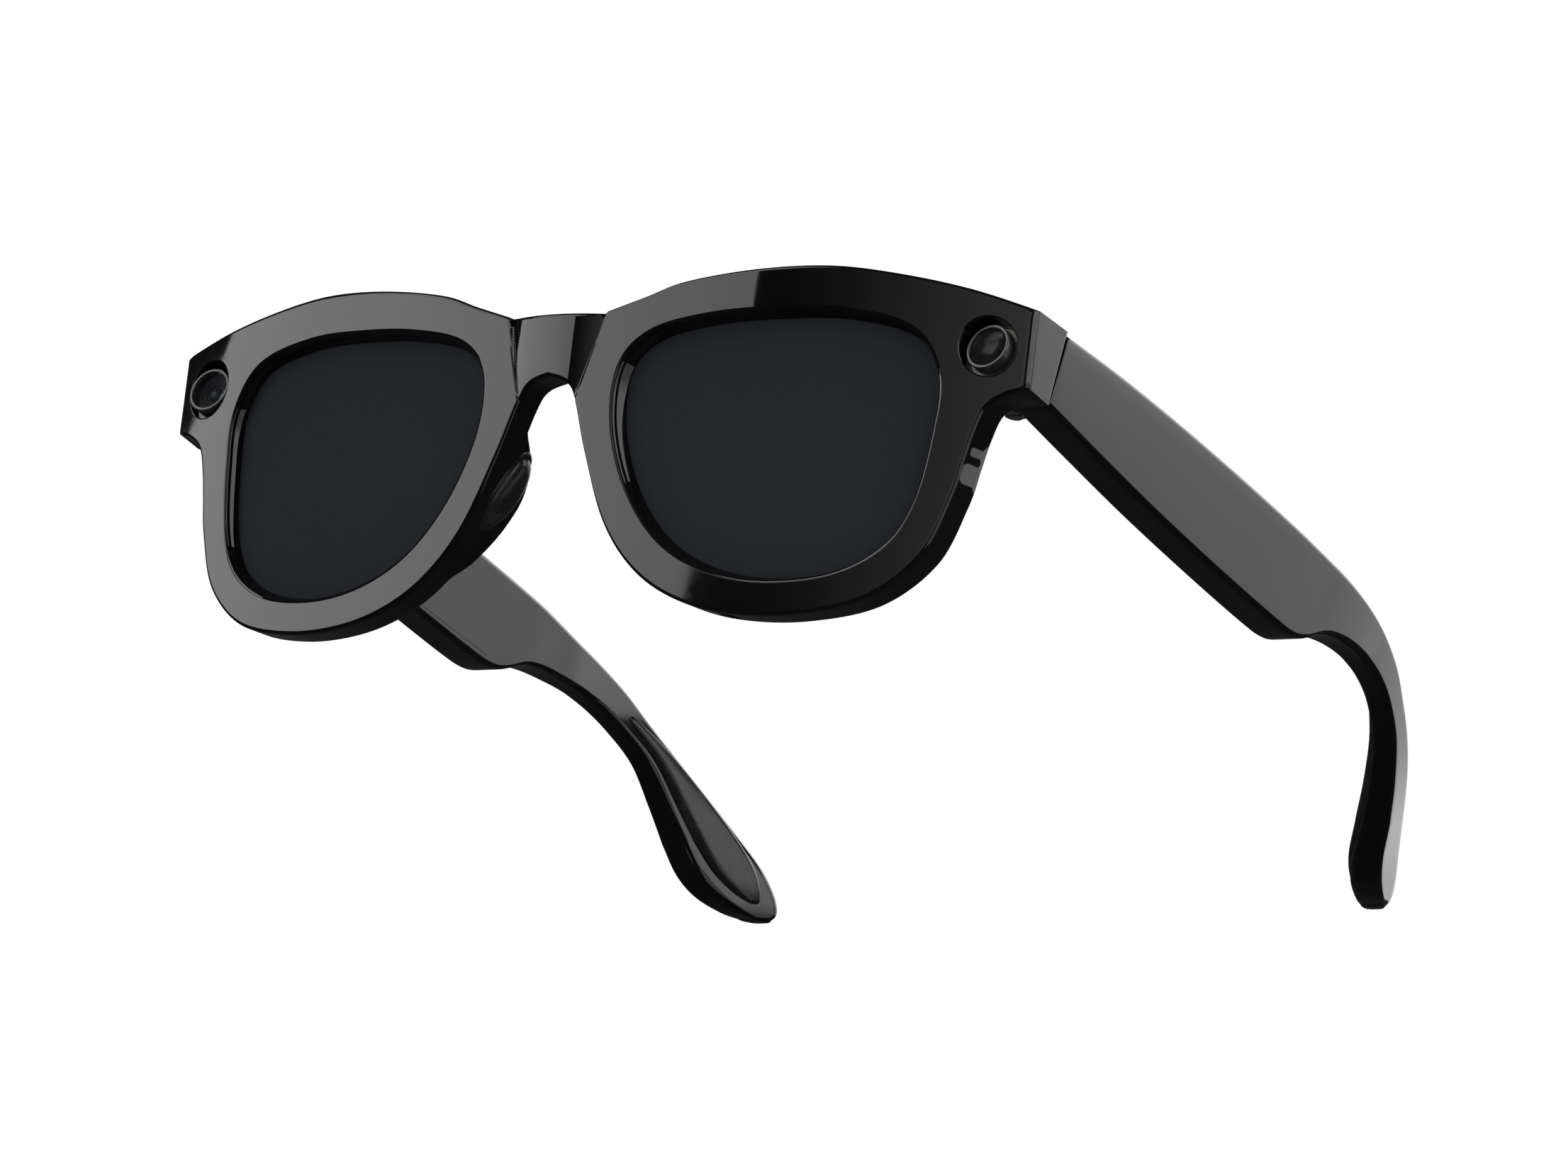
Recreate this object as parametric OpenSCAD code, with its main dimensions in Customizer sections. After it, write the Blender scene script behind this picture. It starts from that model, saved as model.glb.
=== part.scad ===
// Smart glasses: a bowed front with a camera and a status light in its end pieces,
// and two folding temples that hold the batteries, boards and speakers.
// +X is the wearer's left, -Y is forward, +Z is up. The glasses stand on their rims and ear tips.

/* [Front] */
// Half of the width over the end pieces
half_w = 75.4; // [74:0.1:78]
// Depth of the rims from front face to back face
rim_depth = 5; // [4.6:0.1:6]
// Radius of the front's bow, seen from above
bow_r = 259; // [240:1:300]
// Forward lean of the front against the temples
front_lean = 13.3; // [10:0.1:15]
// Thickness of the tinted lenses
lens_t = 1.4; // [1.2:0.1:1.4]
// Radius of the bridge's bulge
bridge_r = 25; // [22:1:30]

/* [Camera and light] */
// Outer radius of the camera ring and the light ring
ring_r = 3.5; // [3.2:0.1:3.6]
// Radius of the glass windows in the rings
window_r = 2.95; // [2.6:0.05:3]
// Distance of each ring's middle from the centre line
ring_x = 69; // [68.6:0.1:69.2]
// Height of each ring's middle in worn coordinates
ring_z = -6.1; // [-6.3:0.1:-5.8]

/* [Temples] */
// Thickness of a temple at its body
temple_t = 6.5; // [6:0.1:7]
// Wall of the temple shells
wall = 1.1; // [0.9:0.1:1.2]
// Width of the gap between an end piece and its temple
split_gap = 0.25; // [0.2:0.05:0.4]

/* [Hinges] */
// Distance of each hinge axis from the centre line
hinge_x = 66.6; // [66.2:0.1:66.6]
// Place of the hinge axes behind the bridge
hinge_y = 19.2; // [19:0.1:19.4]
// Outer radius of the hinge knuckles
knuckle_r = 2.1; // [1.9:0.05:2.1]
// Radius of the hinge pins
pin_r = 0.8; // [0.6:0.05:0.9]
// Running clearance of the hinges
slip = 0.1; // [0.08:0.01:0.15]

/* [Hidden] */

fine = 64;
bow_fine = 720;
eps = 0.01;
face_v = -4.55;            // front face at the centre line, before the lean
split_y = 15.5;            // back of the end pieces
end_cover_t = 1.2;
side_step = 0.04;          // how far the end blocks stand proud of the front's sides
rebate = 1.1;              // depth of the pocket that takes the rear cover
rim_wall = 0.8;            // wall left round the rear cover
lens_set = 2.4;            // how far the lens sits behind the face
lens_grip = 0.8;           // how far the lens reaches into its groove
temple_y0 = split_y + split_gap;
temple_in = half_w - temple_t;
stand_lean = -9.25;        // turn that sets rims and ear tips on the ground
stand_y = -69.845;
stand_z = 46.959;
knuckle_z = [-9.7, -7, -4, -1.2];   // ends of the three knuckles

// A smooth open curve through the points, with n steps between them
function blend(a, b, c, d, t) =
    0.5 * ((2 * b) + (c - a) * t + (2 * a - 5 * b + 4 * c - d) * t * t + (3 * b - a - 3 * c + d) * t * t * t);
function curve(p, n) = [for (i = [0 : len(p) - 2], k = [0 : n - 1])
    blend(p[max(i - 1, 0)], p[i], p[i + 1], p[min(i + 2, len(p) - 1)], k / n)];
// A smooth closed loop through the points
function loop(p, n) = let (m = len(p)) [for (i = [0 : m - 1], k = [0 : n - 1])
    blend(p[(i + m - 1) % m], p[i], p[(i + 1) % m], p[(i + 2) % m], k / n)];
// The closed outline moved out by d; its points run clockwise
function grown(p, d) = let (m = len(p)) [for (i = [0 : m - 1])
    let (t = p[(i + 1) % m] - p[(i + m - 1) % m], s = norm(t)) p[i] + d * [-t[1], t[0]] / s];
function flipped(p) = [for (i = [len(p) - 1 : -1 : 0]) [-p[i][0], p[i][1]]];

// Outlines of the front, upright and from the wearer's left half
top_edge = [[8.5, -1.9], [15, 0.1], [21.5, 2.2], [32.9, 3.8], [44.2, 4.2], [54.4, 3.1], [65.4, 1]];
end_top = [half_w - side_step, -1.9];
end_bottom = [half_w - side_step, -13.4];
low_edge = [[72.2, -14.4], [69.6, -16.4], [68.3, -20], [67.4, -24], [66.1, -29.8], [62.6, -38.2], [55, -44.4],
    [44, -46.8], [33.3, -46.5], [24.7, -44.1], [17.8, -39.7], [12.2, -32.8], [7.7, -22.6], [4.9, -14.8],
    [3.2, -12.2], [0, -11.1]];
half_outline = concat(curve(concat(top_edge, [end_top]), 4), [end_top],
    curve(concat([end_bottom], low_edge), 4));
outline = concat(half_outline, [[0, -11.1]], flipped(half_outline));
lens_edge = loop([[16.9, -5.4], [25.6, -3.3], [35.5, -2.5], [47, -2.6], [57.6, -5.2], [62.1, -11.6],
    [62.2, -19.8], [60.6, -29.9], [57, -36.4], [49.6, -40.5], [39, -41.6], [29.5, -39.8], [21.7, -35.3],
    [15.7, -27.7], [12.2, -18.3], [12.4, -10]], 5);
crease = [[-9, 6], [9, 6], [8.7, -2], [5.6, -12.9], [2.5, -17], [-2.5, -17], [-5.6, -12.9], [-8.7, -2]];

// Temple sections: [top y, top z, bottom y, bottom z, outer x, inner x], from hinge to tip
temple_stations = [
    [temple_y0, 0.4, temple_y0, -11.1, half_w, temple_in],
    [30, 1.8, 30, -11.6, half_w, temple_in],
    [47, 2.9, 47, -12, half_w, temple_in],
    [65, 3.6, 65, -11.9, half_w, temple_in],
    [80, 3.9, 80, -11.5, half_w, temple_in],
    [86, 3.95, 85.5, -11, 75.3, temple_in],
    [90.5, 3.95, 89, -9.6, 75.2, temple_in],
    [95, 3.9, 93.5, -6.6, 75.1, 69],
    [99.5, 3.75, 98, -5, 74.8, 69.2],
    [105, 3.4, 103, -4.1, 74.2, 69.3],
    [111, 2.6, 108, -3.7, 73.2, 68.8],
    [117.5, 0.9, 113.5, -4.1, 71.8, 67.6],
    [123, -1.5, 118.5, -5.4, 70.3, 66.2],
    [129.5, -4.6, 124, -8, 68.2, 64],
    [135.5, -8.2, 128.5, -12.8, 65.7, 61],
    [141, -12.2, 132.2, -17.8, 62.8, 57.5],
    [145.5, -15.6, 135, -21.6, 60.4, 54.8],
    [148.6, -18.8, 138.5, -23.6, 58.9, 53.4],
    [149.8, -21.2, 143, -24.1, 58, 53.2],
    [149.2, -22.8, 146, -23.8, 57.6, 53.8]];

tip_twist = 0.34;          // how far each hook's section turns outwards, per mm of its height

// From worn coordinates to the way the glasses stand
module stand() {
    translate([0, stand_y, stand_z]) rotate([stand_lean, 0, 0]) children();
}
// side is 1 for the wearer's left and -1 for the right
module on_side(side) {
    if (side > 0) children();
    else mirror([1, 0, 0]) children();
}
module leaned() {
    rotate([front_lean, 0, 0]) children();
}
// A flat outline as a prism through the front, upright
module prism(points) {
    translate([0, 30, 0]) rotate([90, 0, 0]) linear_extrude(height = 60) polygon(points);
}
// The bowed slab between two depths behind the front face
module bowed(near, far) {
    translate([0, face_v + bow_r, -60]) difference() {
        cylinder(r = bow_r - near, h = 80, $fn = bow_fine);
        translate([0, 0, -1]) cylinder(r = bow_r - far, h = 82, $fn = bow_fine);
    }
}

// ---- front
end_in = 63.4;             // inner side of the end pieces
end_block = [[6.2, -0.75], [split_y, 0.6], [split_y, -11.15], [7.6, -12.15]];
cavity_x = [64.8, half_w - wall];
cavity_z = [-10.7, -0.9];
ring_gap = 0.7;
ring_y = 6.35;             // front rim of each ring
nose_rise = concat([[-2, -16.9]], curve([[0, -17.4], [1, -18.6], [2.8, -20.5], [4.6, -23.1], [5.4, -26.5], [4.8, -30.1],
    [3.6, -34], [2.1, -37.8], [0, -41]], 4), [[-2, -41.6]]);

module rib(x0, x1, points) {
    translate([x0, 0, 0]) rotate([90, 0, 90]) linear_extrude(height = x1 - x0) polygon(points);
}
module cavity(y0) {
    translate([cavity_x[0], y0, cavity_z[0]])
        cube([cavity_x[1] - cavity_x[0], 40, cavity_z[1] - cavity_z[0]]);
}
module ring_bore() {
    translate([ring_x, 25, ring_z]) rotate([90, 0, 0]) cylinder(r = ring_r + ring_gap, h = 40, $fn = fine);
}
// Where the rear cover sits: inside the rim wall and clear of the end pieces, and out to the nose walls
module cover_zone(play) {
    difference() {
        prism(grown(outline, -rim_wall - play));
        for (side = [1, -1]) on_side(side) translate([62.6 - play, -30, -15.6]) cube([20, 60, 30]);
    }
    intersection() {
        prism(outline);
        translate([-17 + play, -30, -40]) cube([34 - 2 * play, 60, 27 - play]);
    }
}
module bridge_bulge() {
    difference() {
        translate([0, face_v - 0.35 + bridge_r, -60]) cylinder(r = bridge_r, h = 80, $fn = 240);
        translate([0, face_v + bow_r, -61]) cylinder(r = bow_r - rim_depth, h = 82, $fn = bow_fine);
    }
}
flex_run = curve([[62.4, -4.6], [60.4, -2.3], [56, -0.8], [47, 0.6], [36, 0.8], [26, 0.2], [18, -1.1], [13, -2.8],
    [7, -5], [0, -5.6]], 3);
function ribbon(p, w) = let (q = concat(p, [[0, -5.6]], flipped(p)), m = len(q),
    n = [for (i = [0 : m - 1]) let (t = q[min(i + 1, m - 1)] - q[max(i - 1, 0)]) [-t[1], t[0]] / norm(t)])
    concat([for (i = [0 : m - 1]) q[i] + n[i] * w / 2], [for (i = [m - 1 : -1 : 0]) q[i] - n[i] * w / 2]);

module front_shell() {
    color("#0b0b0c") difference() {
        union() {
            leaned() difference() {
                union() {
                    intersection() {
                        difference() { prism(outline); prism(crease); }
                        bowed(0, rim_depth);
                    }
                    intersection() { prism(outline); prism(crease); bridge_bulge(); }
                }
                for (side = [1, -1]) on_side(side) {
                    prism(lens_edge);
                    intersection() {
                        prism(grown(lens_edge, lens_grip + 0.1));
                        bowed(lens_set, rim_depth + 2);
                    }
                }
                intersection() { cover_zone(0); bowed(rim_depth - rebate, rim_depth + 2); }
                intersection() {
                    prism(ribbon(flex_run, 1.8));
                    bowed(rim_depth - rebate - 0.7, rim_depth - rebate + 0.2);
                }
            }
            for (side = [1, -1]) on_side(side) rib(end_in, half_w, end_block);
        }
        for (side = [1, -1]) on_side(side) {
            ring_bore();
            cavity(10.8);
        }
    }
}
module rear_cover() {
    color("#0b0b0c") leaned() difference() {
        union() {
            intersection() { cover_zone(0.1); bowed(rim_depth - rebate, rim_depth); }
            for (side = [1, -1]) on_side(side) intersection() {
                cover_zone(0.1);
                translate([3, -30, -40]) cube([14, 60, 27]);
                bowed(rim_depth - rebate, rim_depth + 14);
                rib(3, 17, nose_rise);
            }
        }
        for (side = [1, -1]) on_side(side) prism(lens_edge);
    }
}
module lens(side) {
    color([0.16, 0.17, 0.19, 0.85]) leaned() on_side(side) intersection() {
        prism(grown(lens_edge, lens_grip));
        bowed(lens_set + 0.05, lens_set + 0.05 + lens_t);
    }
}
module front_flex() {
    color("#b5651d") leaned() intersection() {
        prism(ribbon(flex_run, 1.5));
        bowed(rim_depth - rebate - 0.5, rim_depth - rebate - 0.3);
    }
}
module facing(side, y) {
    on_side(side) translate([ring_x, y, ring_z]) rotate([-90, 0, 0]) children();
}
module ring(side) {
    color("#3c3d3f") facing(side, ring_y) difference() {
        cylinder(r = ring_r, h = 2.6, $fn = fine);
        translate([0, 0, -1]) cylinder(r = window_r, h = 5, $fn = fine);
    }
}
module camera_window() {
    color("#1a1b1f") facing(-1, ring_y + 0.15) cylinder(r = window_r, h = 0.8, $fn = fine);
}
module light_window() {
    color("#141414") facing(1, ring_y + 0.1) difference() {
        cylinder(r = window_r, h = 1.4, $fn = fine);
        translate([0, 0, -6.4]) sphere(r = 7, $fn = 96);
    }
}
module camera_barrel() {
    color("#222326") facing(-1, ring_y + 1) difference() {
        union() {
            cylinder(r = 2.6, h = 5.2, $fn = fine);
            translate([0, 0, 1.65]) cylinder(r = ring_r + ring_gap - 0.05, h = 1.2, $fn = fine);
        }
        translate([0, 0, -1]) cylinder(r = 1.1, h = 4, $fn = fine);
    }
}
module light_diode() {
    color("#e8e6d8") facing(1, ring_y + 1.6) union() {
        translate([-1, -1, 0]) cube([2, 2, 1]);
        translate([0, 0, 1]) cylinder(r = ring_r + ring_gap - 0.05, h = 1.2, $fn = fine);
        translate([-1.4, -1.4, 2.2]) cube([2.8, 2.8, 2.4]);
    }
}
module end_board(side, y) {
    color("#17522f") on_side(side) translate([cavity_x[0] + 0.3, y, cavity_z[0] + 0.3])
        cube([cavity_x[1] - cavity_x[0] - 0.6, 0.8, cavity_z[1] - cavity_z[0] - 0.6]);
}
module nose_pad(side) {
    pad = [for (a = [0 : 15 : 345]) [2.9 * cos(a), 7.2 * sin(a)]];
    crown = [for (a = [0 : 15 : 345]) [1.6 * cos(a), 5.6 * sin(a)]];
    color([0.12, 0.12, 0.13, 0.9]) on_side(side) difference() {
        translate([10.3, 6.9, -25.6]) rotate([0, -115.8, 0]) rotate([0, 0, 90]) union() {
            translate([0, 0, -1.5]) linear_extrude(height = 2.2) polygon(pad);
            hull() {
                translate([0, 0, 0.6]) linear_extrude(height = 0.1) polygon([for (q = pad) q * 0.88]);
                translate([0.6, 0, 2]) linear_extrude(height = 0.1) polygon(crown);
            }
        }
        leaned() prism(grown(outline, 0.02));
    }
}
module end_cover(side) {
    color("#0f0f10") on_side(side) difference() {
        intersection() {
            cavity(split_y - end_cover_t);
            translate([60, split_y - end_cover_t, -20]) cube([20, end_cover_t, 30]);
        }
        for (z = [-9, -2.6]) translate([73.2, 25, z]) rotate([90, 0, 0]) cylinder(r = 0.5, h = 20, $fn = 32);
    }
}
module end_cover_screws() {
    color("#2b2b2d") for (side = [1, -1], z = [-9, -2.6]) on_side(side)
        translate([73.2, split_y, z]) rotate([90, 0, 0]) cylinder(r = 0.5, h = end_cover_t, $fn = 32);
}

// ---- hinges
module knuckle(z0, z1) {
    translate([hinge_x, hinge_y, z0]) cylinder(r = knuckle_r, h = z1 - z0, $fn = fine);
}
module hinge_base(side) {
    color("#1c1c1e") on_side(side) difference() {
        union() {
            translate([hinge_x - 2.9, split_y, knuckle_z[0]]) cube([4.9, 1.2, knuckle_z[3] - knuckle_z[0]]);
            for (k = [[knuckle_z[0], knuckle_z[1] - slip / 2], [knuckle_z[2] + slip / 2, knuckle_z[3]]]) {
                knuckle(k[0], k[1]);
                translate([hinge_x - knuckle_r, split_y + 1, k[0]])
                    cube([2 * knuckle_r, hinge_y - split_y - 1, k[1] - k[0]]);
            }
        }
        translate([hinge_x, hinge_y, -20]) cylinder(r = pin_r, h = 30, $fn = fine);
    }
}
module hinge_leaf(side) {
    z0 = knuckle_z[1] + slip / 2;
    z1 = knuckle_z[2] - slip / 2;
    color("#1c1c1e") on_side(side) difference() {
        union() {
            knuckle(z0, z1);
            translate([hinge_x, hinge_y - 1.9, z0]) cube([temple_in - hinge_x + 0.2, 4, z1 - z0]);
            translate([temple_in, leaf_y[0], leaf_z[0]])
                cube([wall, leaf_y[1] - leaf_y[0], leaf_z[1] - leaf_z[0]]);
        }
        translate([hinge_x, hinge_y, -20]) cylinder(r = pin_r + slip, h = 30, $fn = fine);
        for (z = leaf_screw_z) leaf_screw(z);
    }
}
module hinge_pin(side) {
    color("#3a3a3c") on_side(side) translate([hinge_x, hinge_y, knuckle_z[0] - 0.5]) difference() {
        union() {
            cylinder(r = 1.5, h = 0.5, $fn = fine);
            cylinder(r = pin_r, h = knuckle_z[3] - knuckle_z[0] + 0.5, $fn = fine);
        }
        translate([-2, -0.2, -0.1]) cube([4, 0.4, 0.35]);
    }
}

// ---- temples
leaf_y = [17.2, 26.8];
leaf_z = [-9.4, -1.4];
leaf_screw_z = [-7.9, -2.9];
room = [[17, -0.7], [30, 0.7], [47, 1.8], [65, 2.5], [84, 2.8], [84, -9.9], [65, -10.7], [47, -10.8],
    [30, -10.4], [17, -9.9]];
room_x = [temple_in + wall, half_w - wall];
slot = [[69.7, 72, -13], [1, 8, 4]];
button_at = [72.3, 34];
button_size = [2.4, 8];
contact_y = [47.7, 55.1];
contact_z = -5.4;

// Each station becomes a ring of eight points: a rectangle with its corners cut by c and its sides moved in
function station_ring(s, c, dx, dh) = let (
    top = [s[0], s[1]], low = [s[2], s[3]], up = (top - low) / norm(top - low),
    a = low + up * dh, b = top - up * dh, x1 = s[4] - dx, x0 = s[5] + dx,
    lean = tip_twist * min(1, max(0, (s[0] - 111) / 30))) [
    for (p = [
        [x1 - c, b[0], b[1]], [x1, b[0] - up[0] * c, b[1] - up[1] * c],
        [x1, a[0] + up[0] * c, a[1] + up[1] * c], [x1 - c, a[0], a[1]],
        [x0 + c, a[0], a[1]], [x0, a[0] + up[0] * c, a[1] + up[1] * c],
        [x0, b[0] - up[0] * c, b[1] - up[1] * c], [x0 + c, b[0], b[1]]])
    p + [lean * ((top - [p[1], p[2]]) * up), 0, 0]];
module loft(rings) {
    n = len(rings);
    m = len(rings[0]);
    polyhedron(points = [for (r = rings) each r],
        faces = concat([[for (k = [0 : m - 1]) k]],
            [for (i = [0 : n - 2], k = [0 : m - 1]) each [
                [i * m + k, (i + 1) * m + k, (i + 1) * m + (k + 1) % m],
                [i * m + k, (i + 1) * m + (k + 1) % m, i * m + (k + 1) % m]]],
            [[for (k = [m - 1 : -1 : 0]) (n - 1) * m + k]]));
}
module core_loft() {
    loft([for (i = [8 : 17]) station_ring(temple_stations[i], 0.2, 1.9, 2.1)]);
}
module leaf_screw(z) {
    translate([temple_in + 0.25, 24.6, z]) rotate([0, 90, 0]) cylinder(r = 0.9, h = wall, $fn = 32);
}
module capsule(r, half, h) {
    for (e = [-1, 1]) translate([0, e * (half - r), 0]) cylinder(r = r, h = h, $fn = 48);
    translate([-r, r - half, 0]) cube([2 * r, 2 * (half - r), h]);
}
module button_hole() {
    translate([button_at[0], button_at[1], 0]) capsule(button_size[0] / 2 + 0.1, button_size[1] / 2 + 0.1, 6);
}
module temple_shell(side) {
    color("#0b0b0c") on_side(side) difference() {
        loft([for (s = temple_stations) station_ring(s, 0.8, 0, 0)]);
        rib(temple_in - 1, room_x[1], room);
        core_loft();
        translate(slot[0]) cube(slot[1]);
        if (side < 0) button_hole();
    }
}
module temple_cover(side) {
    color("#0d0d0e") on_side(side) difference() {
        intersection() {
            rib(temple_in, temple_in + wall, room);
            translate([60, leaf_y[1] + 0.1, -12]) cube([20, 83.9 - leaf_y[1] - 0.1, 16]);
        }
        if (side < 0) for (y = contact_y) contact_at(y) cylinder(r = 1.1, h = 4, $fn = 48);
        translate(slot[0]) cube([slot[1][0], slot[1][1], 2.6]);
    }
}
module contact_at(y) {
    translate([temple_in, y, contact_z]) rotate([0, 90, 0]) children();
}
module battery(side) {
    color("#9a9ca0") on_side(side) translate([71.4, 49, -9.8]) cube([2.6, 20, 11.2]);
}
module board(side) {
    color("#17522f") on_side(side) translate([72.2, 28, -9.8]) cube([0.9, 19, 6.6]);
}
module speaker(side) {
    color("#2a2b2e") on_side(side) difference() {
        translate([70.3, 71, -9.6]) cube([3.6, 12, 7]);
        translate([70.9, 73, -10]) cube([2.4, 7, 1.6]);
    }
}
module speaker_mesh(side) {
    color("#1b1b1c") on_side(side) translate([slot[0][0], slot[0][1], -11.2])
        cube([slot[1][0], slot[1][1], 0.3]);
}
module microphone(side) {
    color("#c9c6b8") on_side(side) translate([73.1, 30, -9]) cube([0.9, 3, 2.2]);
}
module tip_pad(side) {
    rise = [0.3, 1.1, 1.6, 1.6, 1.1, 0.3];
    color("#0a0a0b") on_side(side) difference() {
        loft([for (i = [0 : 5]) let (s = temple_stations[i + 12])
            station_ring([s[0], s[1], s[2], s[3], s[5] + 2, s[5] - rise[i]], 0.3, 0, 1.6)]);
        loft([for (s = temple_stations) station_ring(s, 0.8, -eps, 0)]);
    }
}
module tip_core(side) {
    color("#8d9094") on_side(side) core_loft();
}
module leaf_screws(side) {
    color("#3a3a3c") on_side(side) for (z = leaf_screw_z) leaf_screw(z);
}
module charge_contacts() {
    color("#b9a25e") on_side(-1) for (y = contact_y) contact_at(y) cylinder(r = 1.1, h = 2, $fn = 48);
}
module charge_magnet() {
    color("#8f9296") on_side(-1) contact_at((contact_y[0] + contact_y[1]) / 2)
        translate([0, 0, wall]) cylinder(r = 2, h = 1.2, $fn = 48);
}
module capture_button() {
    color("#18181a") on_side(-1) translate([button_at[0], button_at[1], 0]) union() {
        translate([0, 0, -0.6]) capsule(button_size[0] / 2, button_size[1] / 2, 3);
        translate([-1.6, -4.6, -0.6]) cube([3.2, 9.2, 0.6]);
    }
}
module button_switch() {
    color("#3b3c40") on_side(-1) translate([71.2, 32, -3.1]) cube([2.2, 4, 1.9]);
}
stand() front_shell();
stand() rear_cover();
stand() lens(1);  // lens_left
stand() lens(-1);  // lens_right
stand() front_flex();
stand() ring(-1);  // camera_ring
stand() camera_window();
stand() camera_barrel();
stand() end_board(-1, 12.6);  // camera_board
stand() ring(1);  // light_ring
stand() light_window();
stand() light_diode();
stand() end_board(1, 12.6);  // light_board
stand() nose_pad(1);  // nose_pad_left
stand() nose_pad(-1);  // nose_pad_right
stand() end_cover(1);  // end_cover_left
stand() end_cover(-1);  // end_cover_right
stand() hinge_base(1);  // hinge_base_left
stand() hinge_base(-1);  // hinge_base_right
stand() hinge_pin(1);  // hinge_pin_left
stand() hinge_pin(-1);  // hinge_pin_right
stand() end_cover_screws();
stand() hinge_leaf(1);  // hinge_leaf_left
stand() temple_shell(1);  // temple_shell_left
stand() temple_cover(1);  // temple_cover_left
stand() battery(1);  // battery_left
stand() board(1);  // board_left
stand() speaker(1);  // speaker_left
stand() speaker_mesh(1);  // speaker_mesh_left
stand() tip_pad(1);  // tip_pad_left
stand() tip_core(1);  // tip_core_left
stand() leaf_screws(1);  // leaf_screws_left
stand() microphone(1);  // microphone_left
stand() hinge_leaf(-1);  // hinge_leaf_right
stand() temple_shell(-1);  // temple_shell_right
stand() temple_cover(-1);  // temple_cover_right
stand() battery(-1);  // battery_right
stand() board(-1);  // board_right
stand() speaker(-1);  // speaker_right
stand() speaker_mesh(-1);  // speaker_mesh_right
stand() tip_pad(-1);  // tip_pad_right
stand() tip_core(-1);  // tip_core_right
stand() leaf_screws(-1);  // leaf_screws_right
stand() microphone(-1);  // microphone_right
stand() charge_contacts();
stand() charge_magnet();
stand() capture_button();
stand() button_switch();
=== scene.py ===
"""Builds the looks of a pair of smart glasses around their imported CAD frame."""

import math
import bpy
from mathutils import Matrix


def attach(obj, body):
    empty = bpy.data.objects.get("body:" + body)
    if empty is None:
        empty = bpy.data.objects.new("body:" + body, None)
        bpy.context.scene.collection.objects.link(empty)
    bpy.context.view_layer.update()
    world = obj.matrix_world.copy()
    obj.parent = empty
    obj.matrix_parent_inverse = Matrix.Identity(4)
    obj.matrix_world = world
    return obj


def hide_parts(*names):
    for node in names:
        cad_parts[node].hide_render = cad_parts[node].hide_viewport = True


bl_info = {
    "name": "Smart Glasses Looks",
    "version": (1, 0, 0),
    "blender": (4, 5, 0),
    "location": "View3D > Sidebar > Smart Glasses",
    "description": "Rounded front, temples, optics and pads for a pair of smart glasses",
    "category": "Object",
}

import bmesh
import bpy
import numpy as np
from mathutils import Euler, Vector
from mathutils.geometry import delaunay_2d_cdt

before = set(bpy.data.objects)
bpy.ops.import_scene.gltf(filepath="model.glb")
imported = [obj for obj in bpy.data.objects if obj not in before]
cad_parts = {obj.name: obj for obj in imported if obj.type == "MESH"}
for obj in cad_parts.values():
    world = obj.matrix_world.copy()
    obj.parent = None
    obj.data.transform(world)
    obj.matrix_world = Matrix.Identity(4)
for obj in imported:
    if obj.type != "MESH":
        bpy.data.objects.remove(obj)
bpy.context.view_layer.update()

# ---- the design's own numbers, in millimetres, as the glasses are worn
FRONT_LEAN = math.radians(13.3)  # the front's foot sits further back than its top
STAND_LEAN = math.radians(-9.25)  # the turn from worn to standing on rims and hooks
STAND_AT = np.array([0.0, -69.845, 46.959])  # where the worn origin stands
FACE = -4.55  # depth of the face's middle
BOW = 259.0  # radius of the face seen from above
RIM_DEPTH = 5.0
BRIDGE_R = 25.0  # radius of the bridge's own bulge
HALF_W = 75.36
END_Y = 15.47  # back faces of the end pieces
END_UNDER = -13.4  # height of the end pieces' undersides on the front
RING_AT = (69.0, -6.1)  # x and z of the ring recesses
RING_Y = 6.35  # front faces of the rings
RING_R, WINDOW_R, RECESS_R = 3.5, 2.95, 4.2
RECESS_LIP, RECESS_FLOOR = 0.22, 9.0
GLASS_R = 2.94  # radius of what sits inside a ring
COVER_SLANT = math.tan(math.radians(8.15))
DISH_R = 7.0  # how far the status light's dish curves
TOP_EDGE = [(8.5, -1.9), (15, 0.1), (21.5, 2.2), (32.9, 3.8), (44.2, 4.2), (54.4, 3.1),
            (65.4, 1), (HALF_W, -1.9)]
LOW_EDGE = [(HALF_W, END_UNDER), (72.2, -14.4), (69.6, -16.4), (68.3, -20), (67.4, -24),
            (66.1, -29.8), (62.6, -38.2), (55, -44.4), (44, -46.8), (33.3, -46.5), (24.7, -44.1),
            (17.8, -39.7), (12.2, -32.8), (7.7, -22.6), (4.9, -14.8), (3.2, -12.2), (0, -11.1)]
LENS_EDGE = [(16.9, -5.4), (25.6, -3.3), (35.5, -2.5), (47, -2.6), (57.6, -5.2), (62.1, -11.6),
             (62.2, -19.8), (60.6, -29.9), (57, -36.4), (49.6, -40.5), (39, -41.6), (29.5, -39.8),
             (21.7, -35.3), (15.7, -27.7), (12.2, -18.3), (12.4, -10)]
# height on the front, how far the nose bump rises behind it
NOSE_RISE = [(-41, 0), (-37.8, 2.1), (-34, 3.6), (-30.1, 4.8), (-26.5, 5.4), (-23.1, 4.6),
             (-20.5, 2.8), (-18.6, 1), (-17.4, 0)]
LENS_SET = 2.4  # how deep the lenses sit behind the face
GROOVE = 0.16  # depth of the parting line round the back
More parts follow.
